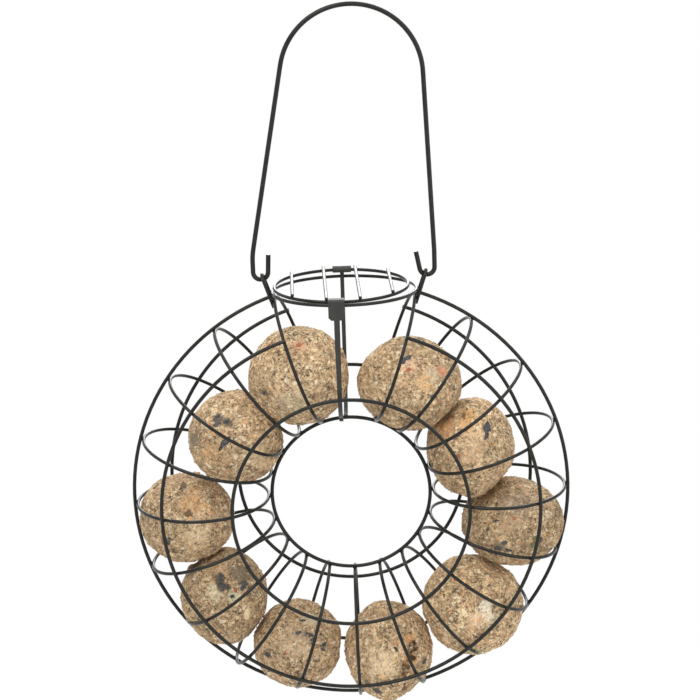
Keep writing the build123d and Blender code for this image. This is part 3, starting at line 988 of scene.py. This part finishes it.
# kinds: each kind with the draw up to which it is taken
# sunk: the share of a crumb's height that lies in the fat
# named: how much longer than in the table the named seeds are
scatter = {
    "perBall": 240,
    "kinds": [
        ("tanCrumb", 0.40), ("brownCrumb", 0.62), ("creamChip", 0.86),
        ("nutChip", 0.94), ("seedShell", 0.975), ("redChip", 1.0),
    ],
    "seed": 500,
    "sunk": 0.28,
    "named": 1.05,
    "namedSunk": 0.1,
    "namedTurn": 0.5,
}


def layCrumb(kind, place, normal, along, length, sunk):
    up = normal.normalized()
    height = crumbKinds[kind]["shape"][2] * length
    return layCopy(crumbModels[kind], place - up * mm(height * sunk), up, along, length)


def drawDirection(draw):
    return Vector((draw.gauss(0, 1), draw.gauss(0, 1), draw.gauss(0, 1)))


def crumbsFor(ball, name, index, middle, half):
    crumbs = []
    for kind, right, up, length, angle in balls[name]["seeds"]:
        found, place, normal = frontPoint(ball, middle, half, right, up)
        if found:
            turned = math.radians(angle)
            along = viewRight * math.cos(turned) + viewUp * math.sin(turned)
            facing = (normal + viewNear * scatter["namedTurn"]).normalized()
            length *= scatter["named"]
            crumbs.append(layCrumb(kind, place, facing, along, length, scatter["namedSunk"]))
    draw = random.Random(scatter["seed"] + index)
    for count in range(scatter["perBall"]):
        direction = drawDirection(draw).normalized()
        pick = draw.random()
        kind = next(label for label, limit in scatter["kinds"] if pick <= limit)
        place, normal = ball.closest_point_on_mesh(middle + direction * half.length)[1:3]
        along = drawDirection(draw)
        least, most = crumbKinds[kind]["sizes"]
        length = least + (most - least) * draw.random() ** 2
        crumbs.append(layCrumb(kind, place, normal, along, length, scatter["sunk"]))
    return joinPieces(crumbs)


for index, name in enumerate(suetNames):
    ball, middle, half = formBall(name, index)
    crumbs = crumbsFor(ball, name, index, middle, half)
    finishPiece(ball, name + "_lump", "cage")
    finishPiece(crumbs, name + "_crumbs", "cage")
    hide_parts(name)
    print("formed", name, len(ball.data.polygons), "faces,", len(crumbs.data.polygons), "in its crumbs")
for model in crumbModels.values():
    bpy.data.objects.remove(model)
bpy.data.objects.remove(allWires)
print("suet balls done")

# every weld between wires is one small bead, modelled once
# lengths in mm; the turns of the hoops round the wheel and of the rings round the tube in degrees
beadLook = {
    "shape": (2.6, 1.9, 1.7),
    "subdivisions": 2,
    "jitter": 0.08,
    "seed": 7,
    "wheelMiddle": (0, 0, -291.7),
    "tubeRadius": 89.5,
    "weldRadius": 40.6,
    "hoopTurns": [38.7 + 18 * count for count in range(17)] + [20.4, 343.2],
    "ringAngles": (0, 58, -58, 118, -118, 180),
    "slack": 0.4,
    "inset": 0.5,
}
beadModel = startPebble(beadLook["subdivisions"], beadLook["shape"], beadLook["jitter"], beadLook["seed"])
bpy.ops.object.mode_set(mode="OBJECT")
cleanShell(beadModel)
bpy.ops.object.shade_smooth()
beadModel.data.materials.append(wireCoat)


def finishBeads(beads, name, body):
    finishPiece(joinPieces(beads), name, body)
    print(name, len(beads), "beads")


# one bead where each hoop crosses each long ring
cageBeads = []
wheelMiddle = Vector(mm(value) for value in beadLook["wheelMiddle"])
for turn in beadLook["hoopTurns"]:
    outward = Vector((-math.sin(math.radians(turn)), 0, math.cos(math.radians(turn))))
    along = Vector((outward.z, 0, -outward.x))
    tube = wheelMiddle + outward * mm(beadLook["tubeRadius"])
    for angle in beadLook["ringAngles"]:
        out = outward * math.cos(math.radians(angle)) + Vector((0, math.sin(math.radians(angle)), 0))
        cageBeads.append(layCopy(beadModel, tube + out * mm(beadLook["weldRadius"]), out.normalized(), along))
finishBeads(cageBeads, "cage_weld_beads", "cage")

# one bead at each end of each lid rod, under it
lidBeads = []
for name, node in nodes.items():
    if name.startswith("lid_rod"):
        points = [node.matrix_world @ point.co for point in node.data.vertices]
        for side in (-1, 1):
            most = max(point.y * side for point in points)
            tip = [point for point in points if point.y * side > most - mm(beadLook["slack"])]
            place = sum(tip, Vector()) / len(tip) - Vector((0, side * mm(beadLook["inset"]), 0))
            lidBeads.append(layCopy(beadModel, place, Vector((0, 0, -1)), Vector((0, 1, 0))))
finishBeads(lidBeads, "lid_weld_beads", "lid")
bpy.data.objects.remove(beadModel)
